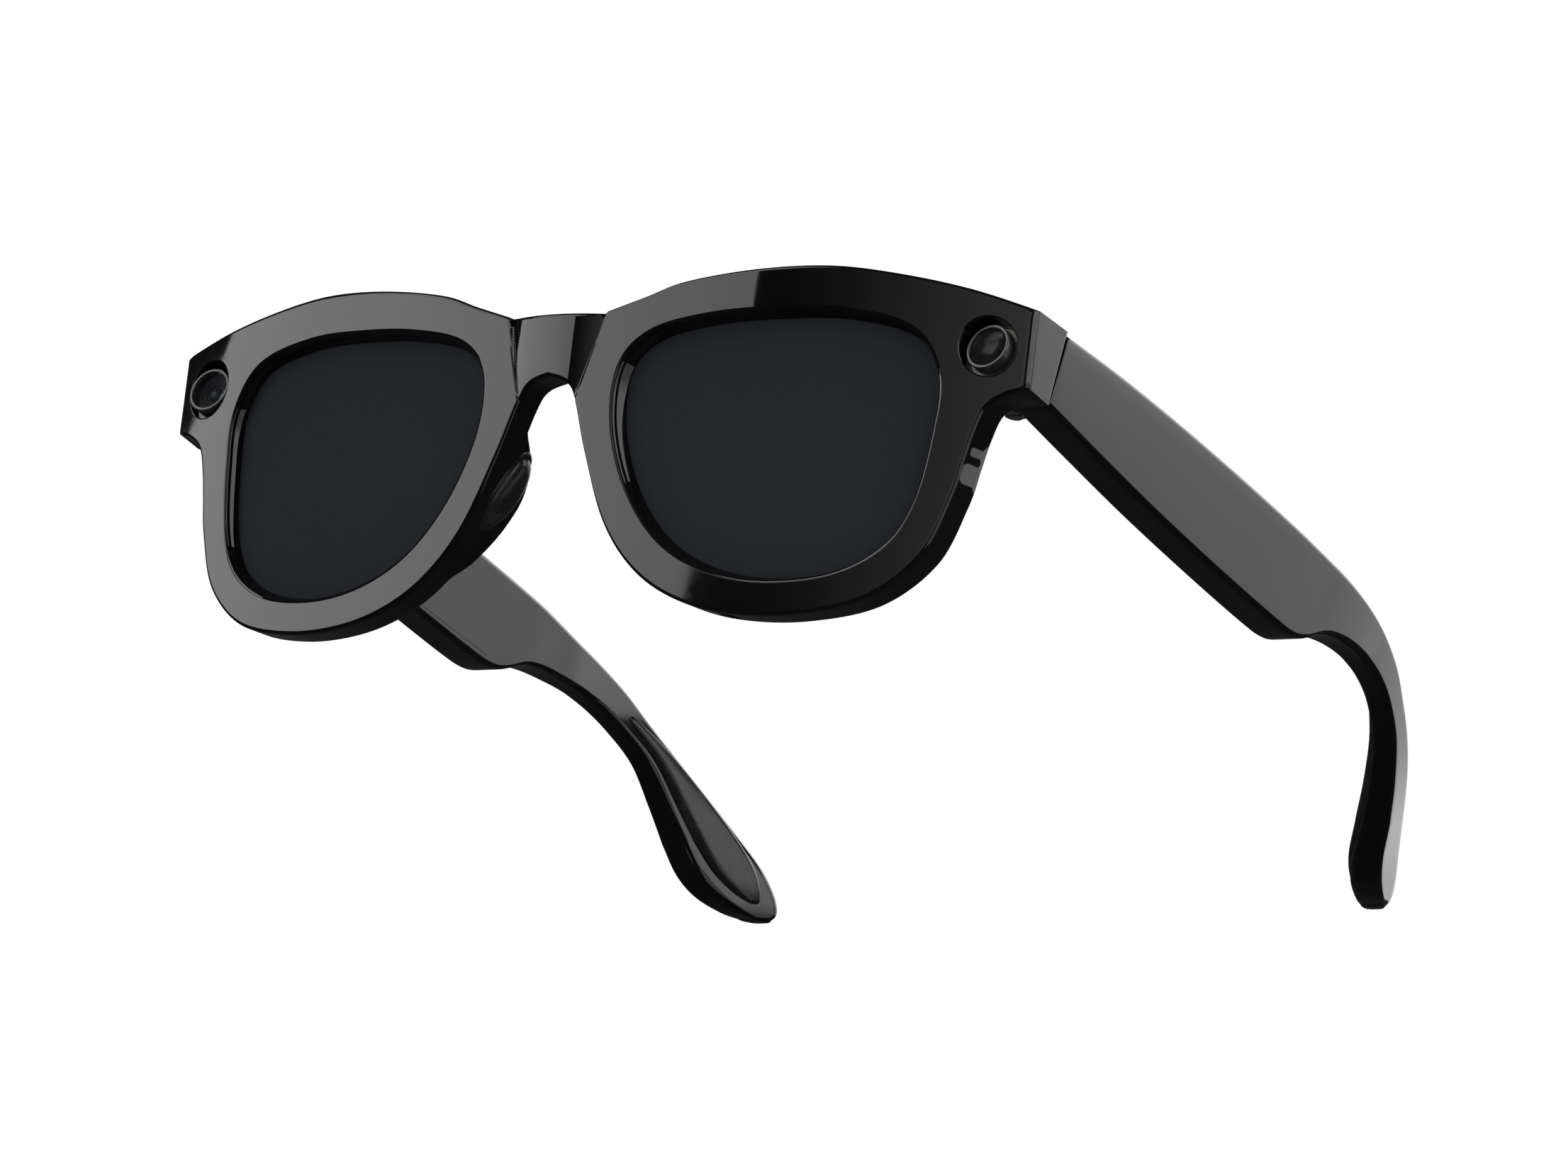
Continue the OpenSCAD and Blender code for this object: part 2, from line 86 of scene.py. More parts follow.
# top y, top z, bottom y, bottom z, outer x, inner x
TEMPLE_STATIONS = [
    (15.75, 0.4, 15.75, -11.1, 75.4, 68.96), (30, 1.8, 30, -11.6, 75.4, 68.96),
    (47, 2.9, 47, -12, 75.4, 68.96), (65, 3.6, 65, -11.9, 75.4, 68.96),
    (80, 3.9, 80, -11.5, 75.4, 68.96), (86, 3.95, 85.5, -11, 75.3, 68.96),
    (90.5, 3.95, 89, -9.6, 75.2, 68.96), (95, 3.9, 93.5, -6.6, 75.1, 69),
    (99.5, 3.75, 98, -5, 74.8, 69.2), (105, 3.4, 103, -4.1, 74.2, 69.3),
    (111, 2.6, 108, -3.7, 73.2, 68.8), (117.5, 0.9, 113.5, -4.1, 71.8, 67.6),
    (123, -1.5, 118.5, -5.4, 70.3, 66.2), (129.5, -4.6, 124, -8, 68.2, 64),
    (135.5, -8.2, 128.5, -12.8, 65.7, 61), (141, -12.2, 132.2, -17.8, 62.8, 57.5),
    (145.5, -15.6, 135, -21.6, 60.4, 54.8), (148.6, -18.8, 138.5, -23.6, 58.9, 53.4),
    (149.8, -21.2, 143, -24.1, 58, 53.2), (149.2, -22.8, 146, -23.8, 57.6, 53.8)]
STATION_STEPS = 5  # sections from one station to the next
TIP_TWIST = 0.34  # how far the hook's sections turn outwards, per mm of their height
TWIST_FROM, TWIST_OVER = 111, 30  # where the turn starts, and the length it grows over
TIP_PAD_ROWS = slice(58, 88)  # the sections of the hook that its pad covers
TIP_PAD_SET = 1.4  # how deep that pad sits in the hook
GRILLE_AT = (70.75, 76)  # x and y of the speaker's grille
NOSE_PAD_AT = (10.3, 6.9, -25.6)
NOSE_PAD_HALF = (2.9, 7.2)
NOSE_PAD_TILT = math.radians(-115.8)

# ---- steps that shapes share
ROUNDING = np.radians([0, 12, 26, 42, 58, 74, 90])  # over a rounded edge
AROUND = np.linspace(0, 2 * math.pi, 72, endpoint=False)  # round a ring

# ---- the camera's place, in metres and degrees
CAMERA_AT = (1.0215687, -1.3829276, -0.4707635)
CAMERA_TURN = (106.35322, -8.89659, 34.05037)
CAMERA_LENS = 278.83
BOARD_AWAY = 2.3  # how far the glowing boards stand from the glasses


# ---- places
def from_worn(x, y, z):
    """Worn millimetres to standing metres."""
    c, s = math.cos(STAND_LEAN), math.sin(STAND_LEAN)
    x, y, z = (np.asarray(v, float) for v in (x, y, z))
    standing = np.stack(np.broadcast_arrays(x, y * c - z * s, y * s + z * c), -1)
    return standing * 0.001 + STAND_AT * 0.001


def worn_from_front(x, v, w):
    """The front's own millimetres (v is depth, w is height) to worn ones."""
    c, s = math.cos(FRONT_LEAN), math.sin(FRONT_LEAN)
    return np.asarray(x, float), v * c - w * s, v * s + w * c


def step(low, high, t):
    """A smooth rise from 0 at low to 1 at high."""
    t = np.clip((np.asarray(t, float) - low) / (high - low), 0, 1)
    return t * t * (3 - 2 * t)


def through(points, per, closed=False):
    """A smooth curve through the points, with per steps between them."""
    p = np.array(points, float)
    n = len(p)
    out = []
    for i in range(n if closed else n - 1):
        if closed:
            a, b, c, d = p[i - 1], p[i], p[(i + 1) % n], p[(i + 2) % n]
        else:
            a, b, c, d = p[max(i - 1, 0)], p[i], p[i + 1], p[min(i + 2, n - 1)]
        for k in range(per):
            t = k / per
            out.append(0.5 * (2 * b + (c - a) * t + (2 * a - 5 * b + 4 * c - d) * t ** 2
                              + (3 * b - a - 3 * c + d) * t ** 3))
    if not closed:
        out.append(p[-1])
    return np.array(out)


def moved_in(loop, d):
    """A clockwise loop moved inwards by d, with its corners kept sharp."""
    ahead = np.roll(loop, -1, 0) - loop
    ahead /= np.linalg.norm(ahead, axis=1)[:, None]
    n1 = np.stack([ahead[:, 1], -ahead[:, 0]], 1)
    n0 = np.roll(n1, 1, 0)
    m = (n0 + n1) / np.maximum(1 + (n0 * n1).sum(1), 0.35)[:, None]
    return loop + m * d


def inside(loop, p):
    """Which of the points p lie in the closed loop."""
    a, b = loop, np.roll(loop, -1, 0)
    px, py = p[:, 0][:, None], p[:, 1][:, None]
    crosses = (a[:, 1] > py) != (b[:, 1] > py)
    dy = np.where(b[:, 1] == a[:, 1], 1e-9, b[:, 1] - a[:, 1])
    return (crosses & (px < (b[:, 0] - a[:, 0]) * (py - a[:, 1]) / dy + a[:, 0])).sum(1) % 2 == 1


def clear_of(loops, p, gap):
    """Those of the points p that are further than gap from every loop's points."""
    keep = np.ones(len(p), bool)
    for loop in loops:
        keep &= (((p[:, None, :] - loop[None]) ** 2).sum(2).min(1) > gap * gap)
    return p[keep]


# ---- meshes
class Net:
    """Points and faces that are gathered into one mesh."""

    def __init__(self):
        self.points, self.faces = [], []

    def add(self, points):
        start = len(self.points)
        self.points.extend(tuple(p) for p in np.asarray(points, float))
        return list(range(start, len(self.points)))

    def band(self, a, b, closed=True):
        n = len(a)
        for i in range(n if closed else n - 1):
            j = (i + 1) % n
            self.faces.append((a[i], a[j], b[j], b[i]))

    def bands(self, rings, closed=True):
        rows = [self.add(r) for r in rings]
        for a, b in zip(rows, rows[1:]):
            self.band(a, b, closed)
        return rows

    def fan(self, row, point):
        tip = self.add([point])[0]
        for i in range(len(row)):
            self.faces.append((row[i], row[(i + 1) % len(row)], tip))

    def fill(self, rows, loops, inner, place):
        """Triangles between the outer loop, the holes and the loose points inside them."""
        flat = np.vstack(loops + [inner])
        ids = [i for r in rows for i in r] + self.add(place(inner))
        edges, at = [], 0
        for loop in loops:
            n = len(loop)
            edges += [(at + i, at + (i + 1) % n) for i in range(n)]
            at += n
        _, _, faces, came_from, _, _ = delaunay_2d_cdt([Vector(p) for p in flat], edges, [], 0,
                                                       1e-7)
        used = [c[0] for c in came_from]
        tri = np.array([[used[k] for k in f] for f in faces if len(f) == 3])
        middle = flat[tri].mean(1)
        keep = inside(loops[0], middle)
        for hole in loops[1:]:
            keep &= ~inside(hole, middle)
        self.faces.extend(tuple(ids[k] for k in t) for t in tri[keep])

    def piece(self, name, body, material, stands_for, sharp=40.0):
        """Makes the piece, which moves with its body and takes the place of CAD nodes."""
        mesh = bpy.data.meshes.new(name)
        mesh.from_pydata(self.points, [], self.faces)
        bm = bmesh.new()
        bm.from_mesh(mesh)
        bmesh.ops.remove_doubles(bm, verts=bm.verts, dist=1e-7)
        bmesh.ops.dissolve_degenerate(bm, edges=bm.edges, dist=1e-7)
        bmesh.ops.recalc_face_normals(bm, faces=bm.faces)
        bm.to_mesh(mesh)
        bm.free()
        mesh.shade_smooth()
        mesh.set_sharp_from_angle(angle=math.radians(sharp))
        mesh.materials.append(material)
        made = bpy.data.objects.new(name, mesh)
        bpy.context.scene.collection.objects.link(made)
        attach(made, body)
        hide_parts(*stands_for)
        return made


def even_shading(made):
    """Weighs the shading by face size, so that flat sides look flat."""
    mod = made.modifiers.new("Even shading", "WEIGHTED_NORMAL")
    mod.keep_sharp = True
    mod.weight = 80


def turned(profile, at):
    """Rings of a turned piece: profile gives (radius, worn y); at gives the axis's x and z."""
    return [from_worn(at[0] + r * np.cos(AROUND), y, at[1] + r * np.sin(AROUND))
            for r, y in profile]


# ---- materials
class Value:
    """A number socket that Python's operators turn into Math nodes."""

    def __init__(self, finish, socket):
        self.finish, self.socket = finish, socket

    def _with(self, operation, a, b):
        return self.finish.number("ShaderNodeMath", {"operation": operation}, {0: a, 1: b})

    def __add__(self, other):
        return self._with("ADD", self, other)

    def __sub__(self, other):
        return self._with("SUBTRACT", self, other)

    def __rsub__(self, other):
        return self._with("SUBTRACT", other, self)

    def __mul__(self, other):
        return self._with("MULTIPLY", self, other)

    def __truediv__(self, other):
        return self._with("DIVIDE", self, other)

    __radd__, __rmul__ = __add__, __mul__


class Finish:
    """One material: a Principled surface and the nodes that vary it."""

    def __init__(self, name, **constants):
        self.material = bpy.data.materials.new(name)
        self.material.use_nodes = True
        self.tree = self.material.node_tree
        self.tree.nodes.clear()
        self.surface = self.node("ShaderNodeBsdfPrincipled", {}, constants)
        self.out = self.node("ShaderNodeOutputMaterial", {}, {"Surface": self.surface.outputs[0]})

    def node(self, kind, settings=None, inputs=None):
        made = self.tree.nodes.new(kind)
        for key, value in (settings or {}).items():
            if key == "stops":
                ramp = made.color_ramp.elements
                while len(ramp) < len(value):
                    ramp.new(0.5)
                for element, (place, colour) in zip(ramp, value):
                    element.position, element.color = place, colour
            else:
                setattr(made, key, value)
        for key, value in (inputs or {}).items():
            self.put(made.inputs[key], value)
        return made

    def put(self, socket, value):
        if isinstance(value, Value):
            value = value.socket
        if isinstance(value, bpy.types.NodeSocket):
            self.tree.links.new(value, socket)
        else:
            socket.default_value = value

    def number(self, kind, settings=None, inputs=None, output=0):
        return Value(self, self.node(kind, settings, inputs).outputs[output])

    def place(self):
        return self.node("ShaderNodeTexCoord").outputs["Object"]

    def axis(self, name):
        return self.number("ShaderNodeSeparateXYZ", {}, {"Vector": self.place()}, name)

    def noise(self, scale, detail=2.0, rough=0.5, **extra):
        return self.number("ShaderNodeTexNoise", {},
                           {"Vector": self.place(), "Scale": scale, "Detail": detail,
                            "Roughness": rough, **extra})

    def ramp(self, value, low, high):
        return self.number("ShaderNodeMapRange", {"interpolation_type": "SMOOTHSTEP"},
                           {"Value": value, "From Min": low, "From Max": high})

    def mix(self, share, a, b):
        return self.node("ShaderNodeMix", {"data_type": "RGBA"},
                         {"Factor": share, 6: a, 7: b}).outputs[2]

    def bump(self, height, strength, distance):
        return self.node("ShaderNodeBump", {}, {"Height": height, "Strength": strength,
                                                "Distance": distance}).outputs[0]

    def wear(self, **varying):
        """Feeds the surface's inputs and gives back the material."""
        for name, value in varying.items():
            self.put(self.surface.inputs[name.replace("_", " ")], value)
        return self.material


def rgb(r, g, b):
    return (r, g, b, 1.0)


def toned(colour, times, plus=0.0):
    """A colour made lighter or darker."""
    return rgb(*[c * times + plus for c in colour])


def moulded_black(name, colour, gloss):
    """Polished black plastic with faint flow marks and wiped smears."""
    f = Finish(name, **{"IOR": 1.5, "Specular IOR Level": 0.5})
    flow, smear = f.noise(38, 3, 0.55), f.noise(420, 4, 0.6)
    tint = f.mix(f.ramp(flow, 0.35, 0.7), rgb(*colour), toned(colour, 1.6, 0.0006))
    rough = gloss + 0.03 * f.ramp(smear * 0.5 + flow * 0.5, 0.45, 0.7)
    return f.wear(Base_Color=tint, Roughness=rough,
                  Normal=f.bump(f.noise(160, 2, 0.4), 0.015, 0.0001))


def tinted_lens():
    """Dark coated lens, a little deeper in tint towards its top, that is not quite opaque."""
    f = Finish("tinted_lens", **{"IOR": 1.5, "Specular IOR Level": 0.0})
    up = f.ramp(f.axis("Z"), 0.006, 0.046)
    tint = f.mix(up, rgb(0.0205, 0.0222, 0.0262), rgb(0.0190, 0.0206, 0.0244))
    wiped = f.ramp(f.noise(300, 3, 0.6), 0.45, 0.75)
    return f.wear(Base_Color=tint, Roughness=0.035 + 0.03 * wiped, Alpha=0.984 + 0.006 * up,
                  Normal=f.bump(f.noise(90, 1, 0.3), 0.02, 0.0001))


def satin_metal(name, colour, rough):
    """Coated metal with a fine grain and slightly rubbed high spots."""
    f = Finish(name, **{"IOR": 1.5})
    speck, cloud = f.noise(2700, 2, 0.6), f.noise(260, 3, 0.55)
    tint = f.mix(f.ramp(cloud, 0.5, 0.75), rgb(*colour), toned(colour, 1.35))
    return f.wear(Base_Color=tint, Metallic=0.75 + 0.2 * cloud, Roughness=rough + 0.12 * speck,
                  Normal=f.bump(speck, 0.15, 0.00002))


def camera_glass():
    """Coated cover glass that shows the optics behind it."""
    f = Finish("camera_glass", **{"IOR": 1.52, "Specular IOR Level": 1.0})
    film = f.noise(210, 2, 0.5)
    tint = f.mix(f.ramp(film, 0.4, 0.6), rgb(0.006, 0.006, 0.008), rgb(0.010, 0.010, 0.014))
    return f.wear(Base_Color=tint, Roughness=0.02 + 0.03 * film, Alpha=0.62 + 0.08 * film)


def optics(at):
    """Ringed black baffles round a small coated lens, with the blue, violet and green glints of its
    coating painted into its colour in rings.
    """
    f = Finish("camera_optics_painted_glints", **{"IOR": 1.5, "Coat IOR": 1.6})
    where = f.node("ShaderNodeVectorMath", {"operation": "SUBTRACT"},
                   {0: f.place(), 1: tuple(at)}).outputs[0]
    far = f.number("ShaderNodeVectorMath", {"operation": "LENGTH"}, {0: where}, "Value")
    # painted glints: blue, violet and green rings in the lens's colour stand in for reflections off
    # its coating
    film = [(0.0, rgb(0.02, 0.03, 0.16)), (0.25, rgb(0.10, 0.02, 0.22)),
            (0.5, rgb(0.01, 0.14, 0.12)), (0.75, rgb(0.03, 0.02, 0.06)),
            (1.0, rgb(0.004, 0.004, 0.005))]
    ring = f.node("ShaderNodeValToRGB", {"stops": film}, {0: far / 0.0012}).outputs[0]
    lens = 1 - f.ramp(far, 0.0010, 0.00115)
    # the lens in the middle takes the painted glint rings, and the baffles round it stay black
    tint = f.mix(lens, rgb(0.004, 0.004, 0.005), ring)
    return f.wear(Base_Color=tint, Roughness=0.35 - 0.29 * lens, Coat_Weight=lens * 0.9,
                  Normal=f.bump(f.noise(3000, 2, 0.5), 0.1, 0.00001))


def light_dish():
    """Dark smoked dish over the status light."""
    f = Finish("light_dish", **{"IOR": 1.5, "Specular IOR Level": 0.12})
    haze = f.noise(500, 3, 0.6)
    tint = f.mix(haze, rgb(0.004, 0.004, 0.0042), rgb(0.008, 0.008, 0.0085))
    return f.wear(Base_Color=tint, Roughness=0.16 + 0.06 * haze,
                  Normal=f.bump(haze, 0.04, 0.00003))


def silicone(name, colour):
    """Soft translucent silicone with a faint bloom of dust."""
    f = Finish(name, **{"IOR": 1.42, "Subsurface Weight": 0.25, "Subsurface Scale": 0.002})
    bloom = f.ramp(f.noise(340, 4, 0.65), 0.45, 0.7)
    tint = f.mix(bloom, rgb(*colour), toned(colour, 1.5, 0.001))
    return f.wear(Base_Color=tint, Roughness=0.2 + 0.14 * bloom,
                  Normal=f.bump(f.noise(700, 3, 0.5), 0.08, 0.00004))


def circuit():
    """Green solder mask over copper runs."""
    f = Finish("circuit", **{"IOR": 1.5})
    cells = f.number("ShaderNodeTexVoronoi", {"feature": "DISTANCE_TO_EDGE"},
                     {"Vector": f.place(), "Scale": 900.0}, "Distance")
    run = 1 - f.ramp(cells, 0.02, 0.08)
    return f.wear(Base_Color=f.mix(run, rgb(0.008, 0.07, 0.03), rgb(0.02, 0.16, 0.06)),
                  Roughness=0.35 + 0.2 * f.noise(800), Normal=f.bump(run, 0.2, 0.00002))


def wrapped_foil():
    """Crumpled silver battery foil."""
    f = Finish("battery_foil", Metallic=0.9)
    fold = f.noise(240, 5, 0.6, Distortion=0.6)
    return f.wear(Base_Color=f.mix(fold, rgb(0.35, 0.35, 0.37), rgb(0.62, 0.62, 0.64)),
                  Roughness=0.28 + 0.2 * fold, Normal=f.bump(fold, 0.4, 0.0001))


def plain_plastic(name, colour, rough):
    """Moulded inner plastic with a spark-eroded grain."""
    f = Finish(name, **{"IOR": 1.5})
    grain = f.noise(1500, 2, 0.6)
    return f.wear(Base_Color=f.mix(grain, rgb(*colour), toned(colour, 1.3, 0.002)),
                  Roughness=rough + 0.1 * grain, Normal=f.bump(grain, 0.2, 0.00003))


def woven_mesh():
    """Fine dark wire mesh over the speaker."""
    f = Finish("speaker_weave", Metallic=0.6)
    wires = [f.number("ShaderNodeMath", {"operation": "SINE"}, {0: f.axis(a) * 18000.0})
             for a in ("X", "Y")]
    wire = f.ramp(wires[0] * wires[1], -0.3, 0.5)
    return f.wear(Base_Color=f.mix(wire, rgb(0.003, 0.003, 0.003), rgb(0.05, 0.05, 0.052)),
                  Roughness=0.5 - 0.15 * wire, Normal=f.bump(wire, 0.6, 0.00005))


# ---- settings
class FrontLook(bpy.types.PropertyGroup):
    fillet: bpy.props.FloatProperty(
        name="Edge rounding", description="Rounding of the front's outer edge",
        default=0.0005, min=0.0003, max=0.0014, unit="LENGTH", precision=5)
    lens_fillet: bpy.props.FloatProperty(
        name="Lens edge rounding", description="Rounding round each lens opening",
        default=0.0007, min=0.0003, max=0.001, unit="LENGTH", precision=5)
    colour: bpy.props.FloatVectorProperty(
        name="Frame colour", description="Colour of the frame's polished plastic",
        default=(0.0012, 0.0012, 0.0013), subtype="COLOR", min=0, max=1)
    gloss: bpy.props.FloatProperty(
        name="Frame roughness", description="Lowest roughness of the polished plastic",
        default=0.02, min=0.0, max=0.5, subtype="FACTOR")


class TempleLook(bpy.types.PropertyGroup):
    fillet: bpy.props.FloatProperty(
        name="Edge rounding", description="Rounding of the temples' long edges",
        default=0.0009, min=0.0004, max=0.002, unit="LENGTH", precision=5)
    gloss: bpy.props.FloatProperty(
        name="Temple roughness", description="Lowest roughness of the temples",
        default=0.09, min=0.0, max=0.5, subtype="FACTOR")


class PadLook(bpy.types.PropertyGroup):
    colour: bpy.props.FloatVectorProperty(
        name="Silicone colour", description="Colour of the nose pads and tip pads",
        default=(0.0075, 0.0075, 0.008), subtype="COLOR", min=0, max=1)
    rise: bpy.props.FloatProperty(
        name="Tip pad rise", description="How far the tip pads stand off the temples",
        default=0.0015, min=0.0005, max=0.0016, unit="LENGTH", precision=5)


class StageLook(bpy.types.PropertyGroup):
    front_panel: bpy.props.FloatProperty(
        name="Front panel", description="Brightness of the panel the front reflects",
        default=2.85, min=0.0, max=20.0)
    side_panel: bpy.props.FloatProperty(
        name="Side panel", description="Brightness of the panel the temples reflect",
        default=2.2, min=0.0, max=20.0)
    floor_colour: bpy.props.FloatVectorProperty(
        name="Floor colour", description="Colour of the floor",
        default=(0.82, 0.82, 0.82), subtype="COLOR", min=0, max=1)


def look(name):
    """The scene's settings of that name."""
    return getattr(bpy.context.scene, name)


def side_name(side):
    return "left" if side > 0 else "right"


# ---- the front
def outline():
    """The front's whole outer edge, with points closer together where the creases meet it."""
    half = np.vstack([through(TOP_EDGE, 10), through(LOW_EDGE, 10)])
    other = half[::-1][1:] * [-1, 1]
    loop = np.vstack([half, other])
    out = []
    for a, b in zip(loop, np.roll(loop, -1, 0)):
        (x, w), length = (a + b) / 2, np.linalg.norm(b - a)
        near_crease = (abs(abs(x) - 8.6) < 0.9 and w > -3) or (abs(abs(x) - 5.4) < 0.9 and w < -11)
        n = max(1, math.ceil(length / (0.14 if near_crease else 1.2)))
        out += [a + (b - a) * k / n for k in range(n)]
    out = np.array(out)
    # no other point within 1 mm of an end piece's corners, so that they stay sharp
    for x, w in (TOP_EDGE[-1], LOW_EDGE[0]):
        for sign in (1, -1):
            gap = np.linalg.norm(out - [sign * x, w], axis=1)
            out = out[(gap < 1e-6) | (gap > 1.0)]
    return out


def crease_at(w):
    """Half the bridge's width between its two creases at each height."""
    return np.clip(8.7 + 3.1 * (np.asarray(w, float) + 2) / 10.9, 4.4, 9.0)


def face_depth(x, w):
    """Depth of the face, where the bridge bulges between its creases."""
    x, w = np.asarray(x, float), np.asarray(w, float)
    main = FACE + BOW - np.sqrt(BOW ** 2 - x ** 2)
    bulge = FACE - 0.35 + BRIDGE_R - np.sqrt(BRIDGE_R ** 2 - np.minimum(np.abs(x), 20) ** 2)
    k = step(-0.12, 0.3, crease_at(w) - np.abs(x))
    return main * (1 - k) + bulge * k


def rear_depth(x, w, inner):
    """Depth of the back; the nose bumps fall away with inner, the distance from the outline."""
    x, w = np.asarray(x, float), np.asarray(w, float)
    back = FACE + BOW - np.sqrt((BOW - RIM_DEPTH) ** 2 - x ** 2)
    nose = np.array(NOSE_RISE)
    rise = np.interp(w, *through(nose, 6).T)
    share = (1 - step(1.2, 4.6, inner)) * (1 - step(15, 19, np.abs(x)))
    share = share * step(-41, -38, w) * (1 - step(-14.5, -12.5, w))
    return back + np.maximum(rise - back, 0) * share


def end_share(x, w):
    """How far a point belongs to an end piece, whose back stands further behind."""
    return step(62.4, 63.6, np.abs(x)) * step(-16.6, -13.9, w)


def back_point(x, w, lift, inner, top):
    """A point of the back, lift in front of the back face, in standing metres."""
    xs, ys, zs = worn_from_front(x, rear_depth(x, w, inner), np.asarray(w, float))
    high = np.interp(np.abs(x), top[:, 0], top[:, 1])
    z_end = -11.15 + 11.75 * np.clip((w - END_UNDER) / (high - END_UNDER), 0, 1)
    e = end_share(x, w)
    return from_worn(xs, ys * (1 - e) + END_Y * e - lift, zs * (1 - e) + z_end * e)


def true_face(mesh):
    """Gives the polished face its exact normals, so that what it reflects keeps straight edges."""
    at = np.array([v.co for v in mesh.vertices]) * 1000 - STAND_AT
    s, c = math.sin(STAND_LEAN + FRONT_LEAN), math.cos(STAND_LEAN + FRONT_LEAN)
    x, v, w = at[:, 0], at[:, 1] * c + at[:, 2] * s, at[:, 2] * c - at[:, 1] * s
    off = np.abs(x) - crease_at(w)
    plain = (np.abs(v - face_depth(x, w)) < 0.004) & ((off > 0.2) | (off < -0.35))
    h = 0.01
    dx = (face_depth(x + h, w) - face_depth(x - h, w)) / (2 * h)
    dw = (face_depth(x, w + h) - face_depth(x, w - h)) / (2 * h)
    n = np.stack([dx, -np.ones(len(x)), dw], 1)
    n /= np.linalg.norm(n, axis=1)[:, None]
    n = np.stack([n[:, 0], n[:, 1] * c - n[:, 2] * s, n[:, 1] * s + n[:, 2] * c], 1)
    given = []
    for polygon in mesh.polygons:
        ids = list(polygon.vertices)
        flat = plain[ids].all() and np.dot(polygon.normal, n[ids[0]]) > 0.9
        given += [tuple(n[i]) if flat else (0.0, 0.0, 0.0) for i in ids]
    mesh.normals_split_custom_set(given)


def face_point(p, drop=0.0):
    """Points p of the face, moved back by drop, in standing metres."""
    x, y, z = worn_from_front(p[:, 0], face_depth(p[:, 0], p[:, 1]) + drop, p[:, 1])
    return from_worn(x, y, z)


def recess_loop(side, r):
    """A circle round a ring's axis, as it falls on the leaning face."""
    x = side * RING_AT[0] + r * np.cos(AROUND[::-1])
    z = RING_AT[1] + r * np.sin(AROUND[::-1])
    v = face_depth(x, -7)
    return np.stack([x, (z - v * math.sin(FRONT_LEAN)) / math.cos(FRONT_LEAN)], 1)


def loose_points(loops, extra=()):
    """A grid and extra points, inside the first loop and outside the rest, clear of them all."""
    gx, gw = np.meshgrid(np.arange(-75, 75.1, 1.5), np.arange(-46.5, 4.6, 1.5))
    p = np.vstack([np.stack([gx.ravel(), gw.ravel()], 1), *extra])
    p = p[inside(loops[0], p)]
    for hole in loops[1:]:
        p = p[~inside(hole, p)]
    return clear_of(loops, p, 0.45)


def front_face(net, loops, radii):
    """Adds the face with its rounded edges and ring recesses; gives each loop's first row."""
    edges, rows, rims = [], [], []
    for loop, r, way in zip(loops, radii, (1, -1, -1)):
        r = r * (1 + step(75.0, HALF_W, np.abs(loop[:, 0])))
        shapes = [moved_in(loop, way * (r * (1 - math.cos(a)))[:, None]) for a in ROUNDING]
        made = net.bands([face_point(p, r * (1 - math.sin(a))) for p, a in zip(shapes, ROUNDING)])
        edges.append(shapes[-1])
        rows.append(made[-1])
        rims.append(made[0])
    for side in (1, -1):
        shapes = [recess_loop(side, RECESS_R + RECESS_LIP * (1 - math.cos(a)))
                  for a in ROUNDING[::2]]
        made = net.bands([face_point(p, RECESS_LIP * (1 - math.sin(a)))
                          for p, a in zip(shapes, ROUNDING[::2])])
        edges.append(shapes[-1])
        rows.append(made[-1])
        wall = net.add(from_worn(side * RING_AT[0] + RECESS_R * np.cos(AROUND[::-1]), RECESS_FLOOR,
                                 RING_AT[1] + RECESS_R * np.sin(AROUND[::-1])))
        net.band(made[0], wall)
        net.fan(wall, from_worn(side * RING_AT[0], RECESS_FLOOR, RING_AT[1]))
    w = np.arange(-13, -1.6, 0.45)
    lines = np.vstack([np.stack([sign * (crease_at(w) - off), w], 1)
                       for off in (-0.32, -0.12, 0.0, 0.1, 0.2, 0.3, 0.5) for sign in (1, -1)])
    grid = loose_points(edges)
    grid = grid[(np.abs(crease_at(grid[:, 1]) - np.abs(grid[:, 0])) > 0.7) | (grid[:, 1] < -13.5)]
    lines = clear_of(edges[:1], lines[inside(edges[0], lines)], 0.12)
    net.fill(rows, edges, np.vstack([grid, lines]), face_point)
    return rims


def front_back(net, loops, rims):
    """Adds the back with its parting groove, and the walls between it and the face."""
    outer, top = loops[0], through(TOP_EDGE, 10)

    def place(p, lift=0.0):
        inner = np.sqrt(((p[:, None, :] - outer[None]) ** 2).sum(2)).min(1)
        return back_point(p[:, 0], p[:, 1], lift, inner, top)

    rows, edges = [], []
    for k, (loop, r, way) in enumerate(zip(loops, (0.45, 0.35, 0.35), (1, -1, -1))):
        shapes = [moved_in(loop, way * r * (1 - math.cos(a))) for a in ROUNDING[::2]]
        lifts = [r * (1 - math.sin(a)) for a in ROUNDING[::2]]
        if k == 0:
            for d, deep in ((1.0, 0), (1.08, GROOVE), (1.24, GROOVE), (1.32, 0)):
                shapes.append(moved_in(loop, d))
                lifts.append(deep * (1 - end_share(*shapes[-1].T)) if deep else deep)
        made = net.bands([place(p, np.asarray(h)) for p, h in zip(shapes, lifts)])
        a, b = (np.array([net.points[i] for i in row]) for row in (rims[k], made[0]))
        if k:
            lip = ((0, -1.5), (0.05, -1.45), (0.62, -0.02), (0, 0.02))
            between = [net.add(face_point(moved_in(loop, d), LENS_SET + deep)) for d, deep in lip]
        else:
            between = [net.add(a + (b - a) * t) for t in (0.2, 0.4, 0.6, 0.8)]
        for p, q in zip([rims[k]] + between, between + [made[0]]):
            net.band(p, q)
        edges.append(shapes[-1])
        rows.append(made[-1])
    steps, under = [], []
    for sign in (1, -1):
        for found, xs, ws in ((steps, np.array([62.3, 62.6, 62.9, 63.2, 63.6, 64.0]),
                               np.arange(-17, 0.5, 0.7)),
                              (under, np.arange(63.5, 72, 0.9), np.arange(-17, -13.4, 0.5))):
            found.append(np.stack(np.meshgrid(sign * xs, ws), -1).reshape(-1, 2))
    net.fill(rows, edges, loose_points(edges, steps + under), place)


